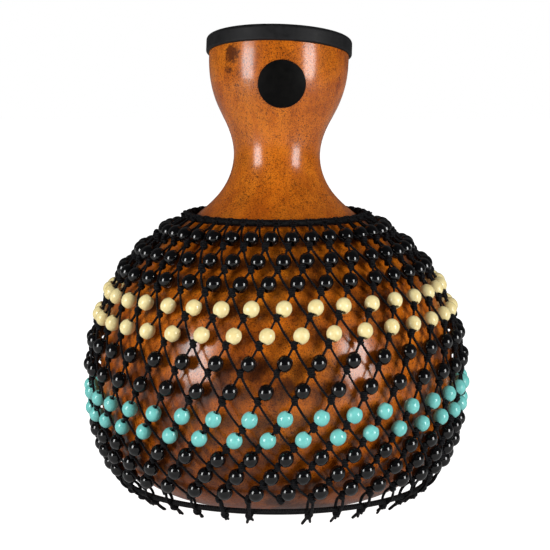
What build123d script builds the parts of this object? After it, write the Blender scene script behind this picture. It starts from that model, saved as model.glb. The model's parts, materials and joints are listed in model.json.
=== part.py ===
import math
import os
import random

from build123d import *

# A shekere: a hollow gourd with a rubber-edged mouth, in a knotted net of beads.
# Millimetres, +Z up, origin at the middle of the flat base, front towards -Y.

# Gourd outline: radii from the axis and heights above the base
base_radius = 38.0
belly_radius = 118.2
belly_height = 86.0
shoulder_radius = 56.8
shoulder_height = 189.3
waist_radius = 28.7
waist_height = 233.0
mouth_radius = 46.5
mouth_height = 295.6
lip_length = 10.5
mouth_spill = 6.0
wall = 5.0

# Gourd outline: slopes in degrees, and how far each curve keeps its end direction
base_slope = 11.6
shoulder_slope = 38.0
base_run = 60.0
belly_drop = 60.5
belly_rise = 56.0
shoulder_run = 40.0
throat_run = 18.0
waist_drop = 22.0
waist_rise = 20.0
mouth_drop = 34.0

# Bend of the neck: how far the mouth tips, and which way, from straight back towards +X
neck_lean = 12.0
neck_lean_side = 8.0
sections_per_curve = 4

# Rubber edge of the mouth
trim_skin = 1.9
trim_depth = 7.9
trim_crown = 3.0
trim_round = 2.7
trim_foot_round = 1.5
trim_fit = 0.15

# Round plate stuck on the front of the neck
badge_radius = 15.5
badge_height = 279.4
badge_offset = 3.4
badge_thickness = 0.4
badge_fit = 0.05
badge_reach = 80.0

# Net: cord, knots and beads
cord_radius = 0.8
knot_radius = 2.3
bead_radius = 5.0
bead_bore_gap = 0.25
columns = 36
rows = 12
wide_rows = 8
head_drop = 23.8
second_drop = 18.9
wide_drop = 16.9
tie_drop = 11.8
leg_spread = 2.2
leg_top_spread = 0.4
bead_seat_gap = 1.8
leg_gap = 0.2
running_gap = 0.3

# Unevenness of the hand-tied net: shares of a column, and millimetres along the net
head_scatter = 0.015
column_scatter = 0.045
drop_scatter = 0.3
net_cant = 2.4
row_drift = 0.02
drift_from_row = 8
scatter_seed = 11

# Collar cord above the net and hem cord below it
collar_cord_radius = 1.65
hitch_radius = 3.4
hem_radius = 104.5
hem_height = 17.0
hem_cord_radius = 1.6
hem_slope = 51.5
hem_run = 18.0
hang_run = 38.0
tie_radius = 3.4
tail_lengths = (5.0, 10.0)
tail_splay = 24.0

hand = random.Random(scatter_seed)
column_angle = 360 / columns


def along(degrees, length):
    return length * math.cos(math.radians(degrees)), length * math.sin(math.radians(degrees))


# The gourd's outline, radius across and height up
base_out, base_up = along(base_slope, base_run)
shoulder_out, shoulder_down = along(shoulder_slope, shoulder_run)
throat_in, throat_up = along(shoulder_slope, throat_run)
with BuildLine() as gourd_outline:
    under = Bezier(
        (base_radius, 0),
        (base_radius + base_out, base_up),
        (belly_radius, belly_height - belly_drop),
        (belly_radius, belly_height),
    )
    upper = Bezier(
        (belly_radius, belly_height),
        (belly_radius, belly_height + belly_rise),
        (shoulder_radius + shoulder_out, shoulder_height - shoulder_down),
        (shoulder_radius, shoulder_height),
    )
    throat = Bezier(
        (shoulder_radius, shoulder_height),
        (shoulder_radius - throat_in, shoulder_height + throat_up),
        (waist_radius, waist_height - waist_drop),
        (waist_radius, waist_height),
    )
    flare = Bezier(
        (waist_radius, waist_height),
        (waist_radius, waist_height + waist_rise),
        (mouth_radius, mouth_height - mouth_drop),
        (mouth_radius, mouth_height),
    )


def beside(curve, share, gap):
    spot = curve @ share
    heading = curve % share
    return Vector(spot.X + gap * heading.Y, spot.Y - gap * heading.X)


def stations(curves, gap):
    spots = []
    for curve in curves:
        spots += [beside(curve, step / sections_per_curve, gap) for step in range(sections_per_curve)]
    return spots + [beside(curves[-1], 1, gap)]


# A plane square to the gourd's axis, which bends above the shoulder and runs straight through the lip
def spine_plane(height):
    bend_length = mouth_height - shoulder_height
    bend_radius = bend_length / math.radians(neck_lean)
    turn = min(max(0, height - shoulder_height), bend_length) / bend_radius
    side = math.radians(neck_lean_side)
    back = bend_radius * (1 - math.cos(turn))
    rise = bend_radius * math.sin(turn) + min(height, shoulder_height)
    plane = Plane(
        origin=(back * math.sin(side), back * math.cos(side), rise),
        x_dir=(math.cos(side), -math.sin(side), 0),
        z_dir=(math.sin(turn) * math.sin(side), math.sin(turn) * math.cos(side), math.cos(turn)),
    )
    return plane.offset(max(0, height - mouth_height))


def gourd_sections(gap, lip):
    spots = stations((under, upper, throat, flare), gap)
    return spots + [Vector(spots[-1].X, mouth_height + share * lip) for share in (0.5, 1)]


slope_angle = math.radians(base_slope)
cavity_floor_radius = base_radius + wall / math.tan(slope_angle) - wall / math.sin(slope_angle)

# Hollow of the gourd, from its floor out through the mouth
with BuildPart() as cavity:
    with BuildSketch(Plane.XY.offset(wall)):
        Circle(cavity_floor_radius)
    for spot in gourd_sections(-wall, lip_length + mouth_spill)[1:]:
        with BuildSketch(spine_plane(spot.Y)):
            Circle(spot.X)
    loft()

# Gourd: one shell, open at the mouth
with BuildPart() as gourd_shell:
    for spot in gourd_sections(0, lip_length):
        with BuildSketch(spine_plane(spot.Y)):
            Circle(spot.X)
    loft()
    add(cavity.part, mode=Mode.SUBTRACT)

# Rubber edge: a channel pushed over the lip, rounded on top
trim_plane = spine_plane(mouth_height + lip_length - trim_depth)
with BuildPart() as rim_trim:
    with BuildSketch(trim_plane):
        Circle(mouth_radius + trim_fit + trim_skin)
        Circle(mouth_radius - wall - trim_fit - trim_skin, mode=Mode.SUBTRACT)
    extrude(amount=trim_depth + trim_crown)
    with BuildSketch(trim_plane):
        Circle(mouth_radius + trim_fit)
        Circle(mouth_radius - wall - trim_fit, mode=Mode.SUBTRACT)
    extrude(amount=trim_depth, mode=Mode.SUBTRACT)
    trim_axis = Axis(trim_plane.origin, trim_plane.z_dir)
    fillet(rim_trim.edges().sort_by(trim_axis)[-2:], trim_round)
    foot_edges = rim_trim.edges().filter_by(GeomType.CIRCLE).group_by(trim_axis)[0]
    fillet(foot_edges.sort_by(SortBy.RADIUS)[-1], trim_foot_round)

# Round plate: a thin disc that follows the front of the neck
with BuildPart() as badge:
    for spot in stations((flare,), badge_fit + badge_thickness):
        with BuildSketch(spine_plane(spot.Y)):
            Circle(spot.X)
    loft()
    for spot in stations((flare,), badge_fit):
        with BuildSketch(spine_plane(spot.Y)):
            Circle(spot.X)
    loft(mode=Mode.SUBTRACT)
    with BuildSketch(Plane(origin=(badge_offset, 0, badge_height), x_dir=(1, 0, 0), z_dir=(0, -1, 0))):
        Circle(badge_radius)
    extrude(amount=badge_reach, mode=Mode.INTERSECT)

# Where the collar cord lies above the shoulder, carried on its hitches
collar_spot = beside(throat, 0, hitch_radius + running_gap)

# The net's own outline: down the belly on its beads, then hanging free to the hem
net_stand = bead_radius + bead_seat_gap
hem_out, hem_up = along(hem_slope, hem_run)
with BuildLine() as net_outline:
    Spline(collar_spot, *[beside(upper, share, net_stand) for share in (0.75, 0.5, 0.25, 0)])
    Bezier(
        (belly_radius + net_stand, belly_height),
        (belly_radius + net_stand, belly_height - hang_run),
        (hem_radius + hem_out, hem_height + hem_up),
        (hem_radius, hem_height),
    )
net_path = net_outline.wire()


def around(degrees, radius, height):
    return Vector(
        radius * math.sin(math.radians(degrees)),
        -radius * math.cos(math.radians(degrees)),
        height,
    )


def net_point(length, degrees):
    level = net_path.position_at(length, position_mode=PositionMode.LENGTH)
    higher = net_cant * math.sin(math.radians(degrees)) * level.X / belly_radius
    spot = net_path.position_at(length - higher, position_mode=PositionMode.LENGTH)
    return around(degrees, spot.X, spot.Y)


# Knots, row by row: each row is half a column on from the row above
hitch_angles = [(column + head_scatter * hand.uniform(-1, 1)) * column_angle for column in range(columns)]
knots = [[around(angle, collar_spot.X, collar_spot.Y) for angle in hitch_angles]]
wide_drops = [head_drop, second_drop] + [wide_drop] * (wide_rows - 2)
close_drop = (net_path.length - sum(wide_drops) - tie_drop) / (rows - wide_rows)
row_drops = wide_drops + [close_drop] * (rows - wide_rows)
for row in range(1, rows + 1):
    shift = 0.5 * (row % 2) + row_drift * max(0, row - drift_from_row)
    row_length = sum(row_drops[:row])
    knot_row = []
    for column in range(columns):
        scatter = (head_scatter if row == 1 else column_scatter) * hand.uniform(-1, 1)
        slip = drop_scatter * hand.uniform(-1, 1)
        knot_row.append(net_point(row_length + slip, (column + shift + scatter) * column_angle))
    knots.append(knot_row)


def upper_knots(row, column):
    if row % 2:
        return knots[row - 1][column], knots[row - 1][(column + 1) % columns]
    return knots[row - 1][column - 1], knots[row - 1][column]


# A straight cord between two round lumps, just clear of both
def cord(start, end, start_radius, end_radius):
    run = Plane(origin=start, z_dir=end - start).offset(start_radius + leg_gap)
    length = (end - start).length - start_radius - end_radius - 2 * leg_gap
    with BuildPart(run) as piece:
        Cylinder(cord_radius, length, align=(Align.CENTER, Align.CENTER, Align.MIN))
    return piece.part


# The two cords above a knot leave its sides, and meet the inner sides of the knots above
def legs(knot, tops):
    side = Vector(-knot.Y, knot.X, 0).normalized()
    left = knot - side * leg_spread, tops[0] + side * leg_top_spread
    right = knot + side * leg_spread, tops[1] - side * leg_top_spread
    return left, right


# A bead slides down the right-hand cord until it meets the knot or the left-hand cord
def bead_place(left, right):
    heading = (right[1] - right[0]).normalized()
    spread_angle = math.radians(heading.get_angle(left[1] - left[0]))
    lean = spread_angle / 2
    stop = knot_radius + bead_radius + leg_gap
    on_knot = math.sqrt(stop**2 - (leg_spread * math.cos(lean)) ** 2) - leg_spread * math.sin(lean)
    cord_room = bead_radius + cord_radius + leg_gap - 2 * leg_spread * math.cos(lean)
    on_cord = cord_room / math.sin(spread_angle)
    return Plane(origin=right[0] + heading * max(on_knot, on_cord), z_dir=heading)


with BuildPart() as bead:
    Sphere(bead_radius)
    Cylinder(cord_radius + bead_bore_gap, 2 * bead_radius, mode=Mode.SUBTRACT)

os.makedirs("parts", exist_ok=True)

# Net rows: knots with their two upper cords, and a bead on each right-hand cord
for row in range(1, rows + 1):
    pairs = [legs(knots[row][column], upper_knots(row, column)) for column in range(columns)]
    top_radius = hitch_radius if row == 1 else knot_radius
    with BuildPart() as net_tier:
        with Locations(*knots[row]):
            Sphere(knot_radius)
        add([cord(*leg, knot_radius, top_radius) for pair in pairs for leg in pair])
    with BuildPart() as bead_row:
        with Locations(*[bead_place(*pair) for pair in pairs]):
            add(bead.part)
    net_tier.part.label = f"net_tier_{row:02d}"
    bead_row.part.label = f"beads_row_{row:02d}"
    export_step(net_tier.part, f"parts/{net_tier.part.label}.step")
    export_step(bead_row.part, f"parts/{bead_row.part.label}.step")

# Collar cord
with BuildPart() as collar_cord:
    with Locations((0, 0, collar_spot.Y)):
        Torus(collar_spot.X, collar_cord_radius)

# Hitches: a lump of cord drawn tight round the collar cord
with BuildPart() as hitch:
    with Locations(Plane(origin=(0, -collar_spot.X, collar_spot.Y), z_dir=(1, 0, 0))):
        Sphere(hitch_radius)
        Cylinder(collar_cord_radius + running_gap, 2 * hitch_radius, mode=Mode.SUBTRACT)
with BuildPart() as collar_hitches:
    with Locations(*[Location((0, 0, 0), (0, 0, angle)) for angle in hitch_angles]):
        add(hitch.part)

# Hem cord
with BuildPart() as hem_cord:
    with Locations((0, 0, hem_height)):
        Torus(hem_radius, hem_cord_radius)

# Hem ties: a knot round the hem cord below each last knot, the cord between, and two loose tails
tie_angles = [math.degrees(math.atan2(knot.X, -knot.Y)) for knot in knots[rows]]
tie_middles = [around(angle, hem_radius, hem_height) for angle in tie_angles]
tie_cords = [cord(middle, knot, tie_radius, knot_radius) for middle, knot in zip(tie_middles, knots[rows])]
for angle, middle in zip(tie_angles, tie_middles):
    for side in (-1, 1):
        splay = side * tail_splay * hand.uniform(0.5, 1)
        swing = tail_splay * hand.uniform(-1, 0.5)
        tail = Vector(0, 0, -1).rotate(Axis.Y, splay).rotate(Axis.X, swing).rotate(Axis.Z, angle)
        reach = tie_radius + hand.uniform(*tail_lengths)
        tie_cords.append(cord(middle, middle + tail * reach, tie_radius, 0))
with BuildPart() as hem_knot:
    with Locations(Plane(origin=(0, -hem_radius, hem_height), z_dir=(1, 0, 0))):
        Sphere(tie_radius)
        Cylinder(hem_cord_radius + running_gap, 2 * tie_radius, mode=Mode.SUBTRACT)
with BuildPart() as hem_ties:
    with Locations(*[Location((0, 0, 0), (0, 0, angle)) for angle in tie_angles]):
        add(hem_knot.part)
    add(tie_cords)

for piece, label in (
    (gourd_shell, "gourd_shell"),
    (rim_trim, "rim_trim"),
    (badge, "badge"),
    (collar_cord, "collar_cord"),
    (collar_hitches, "collar_hitches"),
    (hem_cord, "hem_cord"),
    (hem_ties, "hem_ties"),
):
    piece.part.label = label
    export_step(piece.part, f"parts/{label}.step")
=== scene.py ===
import json
import math
import random

import bmesh
import bpy
from mathutils import Matrix, Vector


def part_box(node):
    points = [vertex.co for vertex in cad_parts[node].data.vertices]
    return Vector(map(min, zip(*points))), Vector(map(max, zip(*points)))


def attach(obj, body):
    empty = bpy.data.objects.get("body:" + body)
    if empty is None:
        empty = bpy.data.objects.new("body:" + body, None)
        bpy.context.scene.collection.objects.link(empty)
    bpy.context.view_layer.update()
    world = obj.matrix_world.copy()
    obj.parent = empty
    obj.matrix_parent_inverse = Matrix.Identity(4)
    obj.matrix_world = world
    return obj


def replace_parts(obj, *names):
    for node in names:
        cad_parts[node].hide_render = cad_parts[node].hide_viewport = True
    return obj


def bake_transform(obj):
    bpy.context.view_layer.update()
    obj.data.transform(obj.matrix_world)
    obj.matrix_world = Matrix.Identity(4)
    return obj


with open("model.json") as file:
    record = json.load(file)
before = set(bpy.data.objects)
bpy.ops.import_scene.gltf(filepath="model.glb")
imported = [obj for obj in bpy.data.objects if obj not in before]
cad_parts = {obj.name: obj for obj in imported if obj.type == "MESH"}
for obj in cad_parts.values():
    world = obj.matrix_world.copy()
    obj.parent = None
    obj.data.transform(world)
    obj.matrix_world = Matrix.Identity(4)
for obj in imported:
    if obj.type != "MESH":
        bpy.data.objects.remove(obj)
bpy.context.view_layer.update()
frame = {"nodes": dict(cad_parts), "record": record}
scene = bpy.context.scene
scene.view_settings.view_transform = "Standard"
mm = 0.001
rowCount = 12
rowNames = ["%02d" % n for n in range(1, rowCount + 1)]
handTied = random.Random(5)  # unevenness of the hand-tied net
print("frame loaded,", len(frame["nodes"]), "nodes")


# materials

def newMaterial(name, **sockets):
    mat = bpy.data.materials.new(name)
    mat.use_nodes = True
    shader = mat.node_tree.nodes["Principled BSDF"]
    for socket, value in sockets.items():
        shader.inputs[socket.replace("_", " ")].default_value = value
    return mat, mat.node_tree, shader


def node(tree, kind, inputs=None, **settings):
    made = tree.nodes.new("ShaderNode" + kind)
    for key, value in settings.items():
        setattr(made, key, value)
    for key, value in (inputs or {}).items():
        if hasattr(value, "is_linked"):
            tree.links.new(value, made.inputs[key])
        else:
            made.inputs[key].default_value = value
    return made


def objectSpots(tree, stretch=(1, 1, 1)):
    coords = node(tree, "TexCoord").outputs["Object"]
    return node(tree, "Mapping", {"Vector": coords, "Scale": stretch}).outputs["Vector"]


def noise(tree, spots, scale, detail=4, roughness=0.55, distortion=0.0):
    made = node(tree, "TexNoise", {"Vector": spots, "Scale": scale, "Detail": detail})
    made.inputs["Roughness"].default_value = roughness
    made.inputs["Distortion"].default_value = distortion
    return made.outputs["Fac"]


def ramp(tree, factor, stops):
    made = node(tree, "ValToRGB", {"Fac": factor})
    marks = made.color_ramp.elements
    while len(marks) < len(stops):
        marks.new(0.5)
    for mark, (place, colour) in zip(marks, stops):
        mark.position = place
        mark.color = (*colour, 1) if len(colour) == 3 else colour
    return made.outputs["Color"]


def level(tree, value, low, high, toLow=0.0, toHigh=1.0):
    made = node(tree, "MapRange", {"Value": value, "From Min": low, "From Max": high})
    made.inputs["To Min"].default_value = toLow
    made.inputs["To Max"].default_value = toHigh
    return made.outputs["Result"]


def mix(tree, factor, first, second, blend="MIX"):
    made = node(tree, "Mix", data_type="RGBA", blend_type=blend)
    for socket, value in zip((made.inputs[0], made.inputs[6], made.inputs[7]), (factor, first, second)):
        if hasattr(value, "is_linked"):
            tree.links.new(value, socket)
        else:
            socket.default_value = value if isinstance(value, float) else (*value, 1)
    return made.outputs[2]


def times(tree, first, second):
    return node(tree, "Math", {0: first, 1: second}, operation="MULTIPLY").outputs[0]


def plus(tree, first, second):
    return node(tree, "Math", {0: first, 1: second}, operation="ADD").outputs[0]


def bump(tree, shader, height, strength, distance):
    made = node(tree, "Bump", {"Height": height, "Strength": strength, "Distance": distance})
    tree.links.new(made.outputs["Normal"], shader.inputs["Normal"])


gourdFinish = {
    "amber": (0.55, 0.132, 0.005),
    "honey": (0.64, 0.182, 0.010),
    "rust": (0.31, 0.058, 0.003),
    "burnt": (0.085, 0.018, 0.003),
    "pore": (0.03, 0.008, 0.002),
    "bellyTop": 0.12,
    "bellyFoot": 0.02,
    "pores": ((1700, 0.53, 0.8), (900, 0.555, 0.85), (420, 0.615, 0.65)),  # scale, start and strength, fine to coarse
    "poreEdge": 0.08,
    "scars": [((-0.026, -0.021, 0.298), 0.0085), ((-0.028, -0.02, 0.288), 0.0055), ((-0.019, -0.027, 0.294), 0.0045),
              ((0.016, -0.025, 0.296), 0.003)],
}


def gourdLacquer(d=gourdFinish):
    mat, tree, shader = newMaterial("gourdLacquer", Coat_Weight=0.7, Coat_Roughness=0.19, Specular_IOR_Level=0.04)
    spots = objectSpots(tree)
    grain = objectSpots(tree, (1, 1, 0.35))
    cloud = noise(tree, spots, 26, 6, 0.62, 0.5)
    base = ramp(tree, cloud, [(0.3, d["rust"]), (0.47, d["amber"]), (0.7, d["honey"])])
    streaks = level(tree, noise(tree, grain, 130, 8, 0.72), 0.44, 0.68)
    base = mix(tree, times(tree, streaks, 0.7), base, d["rust"])
    height = node(tree, "SeparateXYZ", {0: spots}).outputs["Z"]
    low = level(tree, height, d["bellyTop"], d["bellyFoot"])
    base = mix(tree, times(tree, low, 0.6), base, d["rust"])
    scorch = level(tree, noise(tree, spots, 34, 5, 0.65), 0.48, 0.62)
    belly = level(tree, height, 0.19, 0.15, 0.25, 1.0)
    base = mix(tree, times(tree, scorch, times(tree, belly, 0.9)), base, d["burnt"])
    ragged = noise(tree, spots, 300, 6, 0.8)
    for centre, reach in d["scars"]:  # old scars of the rind under the rim
        away = node(tree, "VectorMath", {0: spots, 1: centre}, operation="DISTANCE").outputs["Value"]
        edge = plus(tree, away, times(tree, ragged, 1.6 * reach))
        base = mix(tree, level(tree, edge, 1.75 * reach, 1.5 * reach, 0.0, 0.92), base, d["burnt"])
    beds = level(tree, noise(tree, spots, 48, 5, 0.65), 0.36, 0.62, 0.55, 1.0)
    for size, start, strength in d["pores"]:
        pores = level(tree, noise(tree, spots, size, 3, 0.6), start, start + d["poreEdge"])
        base = mix(tree, times(tree, pores, times(tree, beds, strength)), base, d["pore"])
    tree.links.new(base, shader.inputs["Base Color"])
    crackle = node(tree, "TexVoronoi", {"Vector": spots, "Scale": 300.0}, feature="DISTANCE_TO_EDGE")
    lines = level(tree, crackle.outputs["Distance"], 0.0, 0.12, 0.0, 0.25)
    gloss = level(tree, noise(tree, spots, 170, 6, 0.7), 0.3, 0.7, 0.26, 0.48)
    tree.links.new(gloss, shader.inputs["Roughness"])
    skin = plus(tree, lines, noise(tree, spots, 520, 6, 0.75))
    bump(tree, shader, skin, 0.5, 0.0005)
    return mat


def rimRubber():
    mat, tree, shader = newMaterial("rimRubber", Specular_IOR_Level=0.2)
    spots = objectSpots(tree)
    dust = noise(tree, spots, 260, 6, 0.65)
    shade = ramp(tree, dust, [(0.35, (0.004, 0.004, 0.0045)), (0.75, (0.010, 0.010, 0.011))])
    tree.links.new(shade, shader.inputs["Base Color"])
    tree.links.new(level(tree, dust, 0.3, 0.7, 0.5, 0.68), shader.inputs["Roughness"])
    bump(tree, shader, noise(tree, spots, 1500, 3), 0.15, 0.0002)
    return mat


def badgeFilm():
    mat, tree, shader = newMaterial("badgeFilm", Specular_IOR_Level=0.04)
    spots = objectSpots(tree)
    wear = noise(tree, spots, 190, 5, 0.6)
    shade = ramp(tree, wear, [(0.3, (0.0022, 0.0022, 0.0022)), (0.8, (0.005, 0.0048, 0.0045))])
    tree.links.new(shade, shader.inputs["Base Color"])
    tree.links.new(level(tree, wear, 0.3, 0.7, 0.34, 0.48), shader.inputs["Roughness"])
    bump(tree, shader, noise(tree, spots, 700, 3), 0.05, 0.0001)
    return mat


def cordFibre(name, ribs):
    mat, tree, shader = newMaterial(name, Specular_IOR_Level=0.12)
    spots = objectSpots(tree)
    strand = ribs(tree, spots)
    fibre = noise(tree, spots, 1600, 4, 0.7)
    # painted shade: the rib relief of the strands also sets the base colour, darker in the grooves between strands
    # and lighter on their crests, mixed with random fibre tone; the same mix drives the bump
    lay = plus(tree, times(tree, strand, 0.75), times(tree, fibre, 0.5))
    shade = ramp(tree, lay, [(0.25, (0.0008, 0.0008, 0.001)), (0.95, (0.010, 0.010, 0.012))])
    tree.links.new(shade, shader.inputs["Base Color"])
    tree.links.new(level(tree, fibre, 0.3, 0.7, 0.38, 0.55), shader.inputs["Roughness"])
    bump(tree, shader, lay, 0.9, 0.0006)
    return mat


def sine(tree, value):
    return level(tree, node(tree, "Math", {0: value}, operation="SINE").outputs[0], -1, 1)


def laidRibs(tree, spots, pitch=1.15 * mm):
    height = node(tree, "SeparateXYZ", {0: spots}).outputs["Z"]
    waver = times(tree, noise(tree, spots, 500, 2), 1.5)
    return sine(tree, plus(tree, times(tree, height, math.tau / pitch), waver))


def braidRibs(tree, spots, count=420, slant=2200.0):
    around = node(tree, "TexGradient", {"Vector": spots}, gradient_type="RADIAL").outputs["Fac"]
    height = node(tree, "SeparateXYZ", {0: spots}).outputs["Z"]
    turn = times(tree, around, math.tau * count)
    lean = times(tree, height, slant)
    back = times(tree, height, -slant)
    return times(tree, sine(tree, plus(tree, turn, lean)), sine(tree, plus(tree, turn, back)))


def beadLacquer(name, light, dark, gloss, flecks):
    mat, tree, shader = newMaterial(name, Coat_Weight=0.35, Coat_Roughness=0.08, Specular_IOR_Level=0.3)
    spots = objectSpots(tree)
    body = noise(tree, spots, 210, 5, 0.6)
    shade = ramp(tree, body, [(0.3, dark), (0.6, light)])
    marks = level(tree, noise(tree, spots, 900, 3, 0.6), 0.66, 0.72)
    shade = mix(tree, times(tree, marks, flecks), shade, tuple(0.45 * c for c in dark))
    tree.links.new(shade, shader.inputs["Base Color"])
    tree.links.new(level(tree, noise(tree, spots, 300, 4), 0.3, 0.7, gloss, gloss + 0.1), shader.inputs["Roughness"])
    bump(tree, shader, noise(tree, spots, 420, 3), 0.08, 0.0003)
    return mat


finishes = {
    "gourd": gourdLacquer(),
    "rim_rubber": rimRubber(),
    "badge": badgeFilm(),
    "cord": cordFibre("netCord", laidRibs),
    "braid": cordFibre("ringCord", braidRibs),
    "bead_black": beadLacquer("beadBlack", (0.0035, 0.0035, 0.004), (0.0015, 0.0015, 0.0018), 0.1, 0.1),
    "bead_cream": beadLacquer("beadCream", (0.86, 0.74, 0.38), (0.78, 0.62, 0.27), 0.2, 0.25),
    "bead_turquoise": beadLacquer("beadTurquoise", (0.19, 0.60, 0.56), (0.135, 0.50, 0.465), 0.16, 0.08),
}
slotOf = {part["node"]: part["material_slot"] for part in frame["record"]["subparts"]}
for name in ("gourd_shell", "rim_trim", "badge"):
    held = frame["nodes"][name].data.materials
    held.clear()
    held.append(finishes[slotOf[name]])
print("materials made")


# reading the net from the frame

def islands(nodeName):
    bm = bmesh.new()
    bm.from_mesh(frame["nodes"][nodeName].data)
    bmesh.ops.remove_doubles(bm, verts=bm.verts, dist=1e-6)
    seen = set()
    found = []
    for first in bm.verts:
        if first in seen:
            continue
        seen.add(first)
        group = [first]
        for vert in group:
            for edge in vert.link_edges:
                other = edge.other_vert(vert)
                if other not in seen:
                    seen.add(other)
                    group.append(other)
        found.append([v.co.copy() for v in group])
    bm.free()
    return found


def boxMiddle(points):
    low = Vector([min(p[axis] for p in points) for axis in range(3)])
    high = Vector([max(p[axis] for p in points) for axis in range(3)])
    return (low + high) / 2, high - low


def cordEnds(points):
    far = max(points, key=lambda p: (p - points[0]).length)
    other = max(points, key=lambda p: (p - far).length)
    run = (other - far).normalized()
    along = sorted(points, key=lambda p: (p - far).dot(run))
    half = len(along) // 2
    ends = [sum(part, Vector()) / half for part in (along[:half], along[-half:])]
    return sorted(ends, key=lambda p: p.z)  # lower end first


def sortNet(nodeName, knotSpan):
    knots, cords = [], []
    for points in islands(nodeName):
        middle, span = boxMiddle(points)
        if max(span) - min(span) < 0.12 * max(span) and max(span) < knotSpan:
            knots.append(middle)
        else:
            cords.append(cordEnds(points))
    return knots, cords


def outward(point):
    return Vector((point.x, point.y, 0)).normalized()


def sideways(point):
    return Vector((0, 0, 1)).cross(outward(point))


def nearest(point, others):
    return min(others, key=lambda other: (other - point).length)


netKnots, netCords, beadSpots = {}, {}, {}
for row in rowNames:
    netKnots[row], netCords[row] = sortNet("net_tier_" + row, 7 * mm)
    beadSpots[row] = [boxMiddle(points)[0] for points in islands("beads_row_" + row)]
hitchSpots = [boxMiddle(points)[0] for points in islands("collar_hitches")]
tieSpots = sortNet("hem_ties", 9 * mm)[0]
print("net read:", {row: (len(netKnots[row]), len(netCords[row]), len(beadSpots[row])) for row in rowNames})
print("hitches", len(hitchSpots), "ties", len(tieSpots))


# unit shapes that repeat over the net

def meshFrom(bm, name):
    bmesh.ops.recalc_face_normals(bm, faces=bm.faces)
    for face in bm.faces:
        face.smooth = True
    mesh = bpy.data.meshes.new(name)
    bm.to_mesh(mesh)
    bm.free()
    return mesh


def drawn(bm, section, steps, place):
    edges = list({edge for vert in section for edge in vert.link_edges})
    verts = section
    for step in range(1, steps + 1):
        grown = bmesh.ops.extrude_edge_only(bm, edges=edges)["geom"]
        verts = [g for g in grown if isinstance(g, bmesh.types.BMVert)]
        edges = [g for g in grown if isinstance(g, bmesh.types.BMEdge) and g.is_boundary]
        place(verts, step)
    return verts


cordUnit = {"sides": 6, "steps": 5, "flat": 0.86}


def laidCord(d=cordUnit):
    bm = bmesh.new()
    ring = bmesh.ops.create_circle(bm, segments=d["sides"], radius=1.0)["verts"]
    bmesh.ops.scale(bm, verts=ring, vec=(1, d["flat"], 1))

    def place(verts, step):
        bmesh.ops.translate(bm, verts=verts, vec=(0, 0, 1.0 / d["steps"]))

    drawn(bm, ring, d["steps"], place)
    bmesh.ops.holes_fill(bm, edges=[e for e in bm.edges if e.is_boundary])
    return meshFrom(bm, "cordUnit")


knotUnit = {"sides": 6, "bulge": (0.55, 0.86, 0.9, 0.82, 0.5), "height": 2.1, "wrapRadius": 0.78,
            "wrapThick": 0.42, "wrapSteps": 7, "tilts": (28, -32)}


def loop(bm, radius, thick, steps, matrix, sides=4):
    ring = bmesh.ops.create_circle(bm, segments=sides, radius=thick, matrix=Matrix.Translation((radius, 0, 0))
                                   @ Matrix.Rotation(math.pi / 2, 4, "X"))["verts"]
    edges = list({edge for vert in ring for edge in vert.link_edges})
    before = set(bm.verts) - set(ring)
    bmesh.ops.spin(bm, geom=ring + edges, angle=math.tau, steps=steps, axis=(0, 0, 1), use_merge=True)
    bmesh.ops.transform(bm, matrix=matrix, verts=[v for v in bm.verts if v not in before])


def overhandKnot(d=knotUnit):
    bm = bmesh.new()
    ring = bmesh.ops.create_circle(bm, segments=d["sides"], radius=d["bulge"][0])["verts"]
    steps = len(d["bulge"]) - 1
    bmesh.ops.translate(bm, verts=ring, vec=(0, 0, -d["height"] / 2))

    def place(verts, step):
        swell = d["bulge"][step] / d["bulge"][step - 1]
        bmesh.ops.scale(bm, verts=verts, vec=(swell, swell, 1))
        bmesh.ops.translate(bm, verts=verts, vec=(0, 0, d["height"] / steps))

    drawn(bm, ring, steps, place)
    bmesh.ops.holes_fill(bm, edges=[e for e in bm.edges if e.is_boundary])
    for share, tilt in zip((0.2, -0.2), d["tilts"]):
        lean = Matrix.Translation((0, 0, share)) @ Matrix.Rotation(math.radians(tilt), 4, "Y")
        loop(bm, d["wrapRadius"], d["wrapThick"], d["wrapSteps"], lean)
    return meshFrom(bm, "knotUnit")


beadUnit = {"around": 8, "along": 6, "bore": 0.24, "length": 0.975, "smoothing": 2}


def boredBead(d=beadUnit):
    bm = bmesh.new()
    ball = bmesh.ops.create_uvsphere(bm, u_segments=d["around"], v_segments=d["along"], radius=1.0)["verts"]
    poles = [v for v in ball if abs(v.co.z) > 0.999]
    bmesh.ops.delete(bm, geom=poles, context="VERTS")
    rims = [e for e in bm.edges if e.is_boundary]
    inner = bmesh.ops.extrude_edge_only(bm, edges=rims)["geom"]
    verts = [g for g in inner if isinstance(g, bmesh.types.BMVert)]
    for vert in verts:
        flat = Vector((vert.co.x, vert.co.y, 0)).normalized() * d["bore"]
        vert.co = flat + Vector((0, 0, math.copysign(0.94, vert.co.z)))
    edges = [g for g in inner if isinstance(g, bmesh.types.BMEdge) and g.is_boundary]
    bmesh.ops.bridge_loops(bm, edges=edges)
    return filledOut(meshFrom(bm, "beadUnit"), d["smoothing"], (1.0, 1.0, d["length"]))


def filledOut(mesh, smoothing, size):
    trial = bpy.data.objects.new("trial", mesh)  # smoothing shrinks a cage, so it is grown to fill its size
    scene.collection.objects.link(trial)
    smooth = trial.modifiers.new("smooth", "SUBSURF")
    smooth.levels = smoothing
    seen = trial.evaluated_get(bpy.context.evaluated_depsgraph_get()).to_mesh()
    span = [max(v.co[axis] for v in seen.vertices) for axis in range(3)]
    bpy.data.objects.remove(trial)
    mesh.transform(Matrix.Diagonal((*[want / have for want, have in zip(size, span)], 1)))
    return mesh


def stamped(bm, unit, matrix):
    copy = unit.copy()
    copy.transform(matrix)
    bm.from_mesh(copy)
    bpy.data.meshes.remove(copy)


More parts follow.
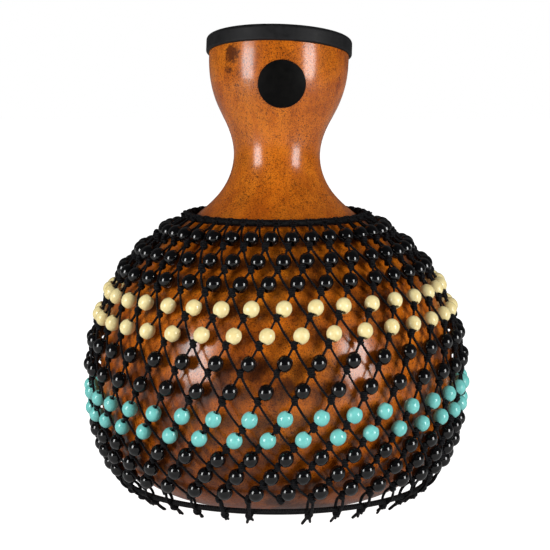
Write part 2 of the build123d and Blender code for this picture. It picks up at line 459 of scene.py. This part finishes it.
def strung(bm, unit, start, end, radius, bow=Vector()):
    run = end - start
    ahead = run.normalized()
    side = ahead.cross(outward(start)).normalized()
    face = side.cross(ahead)
    spin = Matrix.Rotation(handTied.uniform(0, math.tau), 3, "Z")
    copy = unit.copy()
    for vert in copy.vertices:
        across = spin @ Vector((vert.co.x, vert.co.y, 0)) * radius
        share = vert.co.z
        vert.co = start + run * share + side * across.x + face * across.y + bow * (4 * share * (1 - share))
    bm.from_mesh(copy)
    bpy.data.meshes.remove(copy)


def piece(bm, name, finish, smoothing=1):
    mesh = meshFrom(bm, name)
    made = bpy.data.objects.new(name, mesh)
    scene.collection.objects.link(made)
    mesh.materials.append(finishes[finish])
    if smoothing:
        smooth = made.modifiers.new("smooth", "SUBSURF")
        smooth.levels = smooth.render_levels = smoothing
    return made


def facing(spot, ahead, size):
    out = outward(spot)
    down = ahead.normalized()
    side = down.cross(out).normalized()
    face = side.cross(down)
    turn = Matrix((side, face, down)).transposed().to_4x4()
    return Matrix.Translation(spot) @ turn @ Matrix.Diagonal((*size, 1))


cordMesh, knotMesh, beadMesh = laidCord(), overhandKnot(), boredBead()
print("unit shapes:", [len(m.polygons) for m in (cordMesh, knotMesh, beadMesh)], "faces")


# beads, knots and cords, a course at a time

netLook = {"bead": 5.0 * mm, "cord": 0.97 * mm, "knot": (2.8 * mm, 2.6 * mm, 3.2 * mm), "sag": 0.8 * mm,
           "uneven": 0.03, "lean": 0.3, "beadReach": 2.5 * mm, "knotSide": 0.9 * mm, "round": 1.4 * mm, "swell": 0.1}


def offCord(spot, ends):
    run = ends[1] - ends[0]
    share = min(1, max(0, (spot - ends[0]).dot(run) / run.length_squared))
    return (ends[0] + run * share - spot).length


def nearestCord(spot, cords):
    return min(cords, key=lambda ends: offCord(spot, ends))


def beadsOf(row, d=netLook):
    bm = bmesh.new()
    for spot in beadSpots[row]:
        low, high = nearestCord(spot, netCords[row])
        size = d["bead"] * (1 + handTied.uniform(-d["uneven"], 0))
        stamped(bm, beadMesh, facing(spot, high - low, (size, size, size)))
    made = piece(bm, "beadsRow" + row, slotOf["beads_row_" + row], 2)
    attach(made, "row_" + row)
    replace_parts(made, "beads_row_" + row)


def knotsOf(row, d=netLook):
    bm = bmesh.new()
    for spot in netKnots[row]:
        tip = Vector((handTied.uniform(-1, 1) * d["lean"], handTied.uniform(-1, 1) * d["lean"], -1))
        swell = 1 + handTied.uniform(-d["swell"], d["swell"])
        stamped(bm, knotMesh, facing(spot, tip, [swell * size for size in d["knot"]]))
    made = piece(bm, "knotsRow" + row, "cord")
    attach(made, "row_" + row)
    return made


def cordsOf(row, tops, d=netLook):
    bm = bmesh.new()
    for low, high in netCords[row]:
        knot, top = nearest(low, netKnots[row]), nearest(high, tops)
        side = sideways(knot) * math.copysign(1, (low - knot).dot(sideways(knot)))
        start = knot + side * d["knotSide"]
        bead = min(beadSpots[row], key=lambda spot: offCord(spot, (low, high)))
        if offCord(bead, (low, high)) < d["beadReach"]:
            strung(bm, cordMesh, start, bead, d["cord"])
            strung(bm, cordMesh, bead, top, d["cord"])
        else:
            sag = outward(low) * handTied.uniform(0, d["sag"])
            ease = d["round"] if tops is hitchSpots else d["sag"]  # the steep cords pass round their beads
            strung(bm, cordMesh, start, top, d["cord"], sag + side * ease)
    made = piece(bm, "cordsTier" + row, "cord")
    top = max(high.z for low, high in netCords[row])
    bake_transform(made)
    return made


for number, row in enumerate(rowNames):
    beadsOf(row)
    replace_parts(knotsOf(row), "net_tier_" + row)
    tops = netKnots[rowNames[number - 1]] if number else hitchSpots
    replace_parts(cordsOf(row, tops), "net_tier_" + row)
print("net made")


# collar and hem rings, with the ties that hold the net to them

ringRope = {"sides": 10, "steps": 144, "collarGrow": 1.45, "hemGrow": 1.2}


def ropeRing(centre, radius, thick, name, d=ringRope):
    bm = bmesh.new()
    loop(bm, radius, thick, d["steps"], Matrix.Translation(centre), d["sides"])
    return piece(bm, name, "braid")


def ringSize(nodeName):
    low, high = (Vector(corner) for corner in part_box(nodeName))
    thick = (high.z - low.z) / 2
    return (low + high) / 2, (high.x - low.x) / 2 - thick, thick


collarMiddle, collarRadius, collarThick = ringSize("collar_cord")
collar = ropeRing(collarMiddle, collarRadius, collarThick * ringRope["collarGrow"], "collarRope")
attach(collar, "collar")
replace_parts(collar, "collar_cord")
hemMiddle, hemRadius, hemThick = ringSize("hem_cord")
hem = ropeRing(hemMiddle, hemRadius, hemThick * ringRope["hemGrow"], "hemRope")
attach(hem, "hem")
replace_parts(hem, "hem_cord")

hitchLook = {"loop": 2.2 * mm, "thick": 1.25 * mm, "apart": 1.2 * mm, "bar": 1.3 * mm, "barOut": 0.6 * mm,
             "barLean": 0.2, "lean": (-0.1, 0.3)}


def hitchShape(d=hitchLook):
    bm = bmesh.new()
    for side in (-1, 1):
        lean = Matrix.Translation((side * d["apart"], 0, 0)) @ Matrix.Rotation(math.pi / 2, 4, "Y")
        loop(bm, d["loop"], d["thick"], 8, lean)
    bar = Matrix.Translation((0, d["loop"] + d["barOut"], 0)) @ Matrix.Rotation(d["barLean"], 4, "Y")
    loop(bm, d["bar"] * 1.5, d["thick"] * 0.9, 6, bar)
    return meshFrom(bm, "hitchUnit")


hitchMesh = hitchShape()
bm = bmesh.new()
for spot in hitchSpots:
    lean = Vector((0, 0, -1)) + outward(spot) * handTied.uniform(*hitchLook["lean"])
    stamped(bm, hitchMesh, facing(spot, lean, (1, 1, 1)))
hitches = piece(bm, "collarHitches", "cord")
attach(hitches, "head")
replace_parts(hitches, "collar_hitches")

tieLook = {"strand": 1.2 * mm, "tail": 1.2 * mm, "knot": (3.1 * mm, 3.1 * mm, 3.2 * mm), "drop": 4.2 * mm,
           "straddle": 2.9 * mm, "apart": 0.9 * mm, "swing": 1.0 * mm, "tailRun": (6.5 * mm, 12 * mm),
           "tailIn": 0.3, "tailSplay": (0.05, 0.35), "curl": 0.8, "knotLean": 0.4}
lastKnots = netKnots[rowNames[-1]]


def tieFoot(spot, d=tieLook):
    fall = (spot - nearest(spot, lastKnots)).normalized()
    return spot + fall * d["drop"] + sideways(spot) * handTied.uniform(-1, 1) * d["swing"], fall


tieFeet = [(spot, nearest(spot, lastKnots), *tieFoot(spot)) for spot in tieSpots]


def hemStrands(d=tieLook):
    bm = bmesh.new()
    for spot, knot, foot, fall in tieFeet:
        for side in (-1, 1):
            apart = sideways(spot) * side * d["apart"]
            ease = fall.cross(sideways(spot)).normalized() * side * d["straddle"]
            strung(bm, cordMesh, foot + apart, knot + apart, d["strand"], ease)
    made = piece(bm, "hemStrands", "cord")
    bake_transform(made)
    return made


def hemTies(d=tieLook):
    bm = bmesh.new()
    for spot, knot, foot, fall in tieFeet:
        lean = fall + sideways(spot) * handTied.uniform(-d["knotLean"], d["knotLean"])
        stamped(bm, knotMesh, facing(foot, lean, d["knot"]))
        for side in (-1, 1):
            ahead = fall - outward(spot) * d["tailIn"] + sideways(spot) * side * handTied.uniform(*d["tailSplay"])
            end = foot + ahead.normalized() * handTied.uniform(*d["tailRun"])
            curl = outward(spot) * handTied.uniform(-d["curl"], d["curl"]) * mm
            strung(bm, cordMesh, foot, end, d["tail"], curl)
    made = piece(bm, "hemTies", "cord")
    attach(made, "hem")
    return made


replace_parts(hemStrands(), "hem_ties")
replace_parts(hemTies(), "hem_ties")
print("rings and ties made:", len(tieSpots), "ties")


# studio

studio = {"camera": (-0.001, -1.13, 0.303), "pitch": 7.65, "lens": 111.3, "boxAngle": 52, "boxHeight": 0.42,
          "boxDistance": 1.5, "boxSize": (0.5, 0.75), "boxPower": 18.4, "ambient": 0.18, "dimFront": 0.03,
          "floorGlow": 1.0, "floorShine": 0.1, "backShine": 0.08}


def lookingAt(spot, target):
    return (Vector(target) - Vector(spot)).to_track_quat("-Z", "Y").to_euler()


def softBox(name, degrees, d=studio):
    lamp = bpy.data.lights.new(name, "AREA")
    lamp.shape = "RECTANGLE"
    lamp.size, lamp.size_y = d["boxSize"]
    lamp.energy = d["boxPower"]
    made = bpy.data.objects.new(name, lamp)
    turn = math.radians(degrees)
    made.location = (d["boxDistance"] * math.sin(turn), -d["boxDistance"] * math.cos(turn), d["boxHeight"])
    made.rotation_euler = lookingAt(made.location, (0, 0, 0.14))
    scene.collection.objects.link(made)


def paleFloor(d=studio):
    bm = bmesh.new()
    bmesh.ops.create_grid(bm, x_segments=1, y_segments=1, size=6)
    mesh = bpy.data.meshes.new("floor")
    bm.to_mesh(mesh)
    bm.free()
    made = bpy.data.objects.new("floor", mesh)
    scene.collection.objects.link(made)
    mat, tree, shader = newMaterial("floorPaper", Base_Color=(0.7, 0.7, 0.69, 1), Roughness=0.9)
    shader.inputs["Emission Color"].default_value = (1, 1, 1, 1)
    path = node(tree, "LightPath").outputs
    direct = plus(tree, path["Is Camera Ray"], path["Is Transmission Ray"])
    glow = plus(tree, times(tree, direct, d["floorGlow"]), times(tree, path["Is Glossy Ray"], d["floorShine"]))
    tree.links.new(glow, shader.inputs["Emission Strength"])
    mesh.materials.append(mat)


def paleWorld(d=studio):
    world = bpy.data.worlds.new("studio")
    scene.world = world
    world.use_nodes = True
    tree = world.node_tree
    path = node(tree, "LightPath").outputs
    direct = plus(tree, path["Is Camera Ray"], path["Is Transmission Ray"])
    toBack = node(tree, "SeparateXYZ", {0: node(tree, "TexCoord").outputs["Generated"]}).outputs["Y"]
    # paler behind the object, dim towards the camera
    backdrop = level(tree, toBack, -0.05, 0.5, d["dimFront"], d["backShine"])
    mirrored = times(tree, path["Is Glossy Ray"], backdrop)
    lit = level(tree, plus(tree, direct, path["Is Glossy Ray"]), 0, 1, d["ambient"], 0.0)
    strength = plus(tree, plus(tree, direct, mirrored), lit)
    tree.links.new(strength, tree.nodes["Background"].inputs["Strength"])
    tree.nodes["Background"].inputs["Color"].default_value = (1, 1, 1, 1)


paleFloor()
paleWorld()
softBox("leftBox", -studio["boxAngle"])
softBox("rightBox", studio["boxAngle"])
lens = bpy.data.cameras.new("camera")
lens.lens = studio["lens"]
camera = bpy.data.objects.new("camera", lens)
camera.location = studio["camera"]
camera.rotation_euler = (math.radians(90 - studio["pitch"]), 0, 0)
scene.collection.objects.link(camera)
scene.camera = camera
print("studio set")
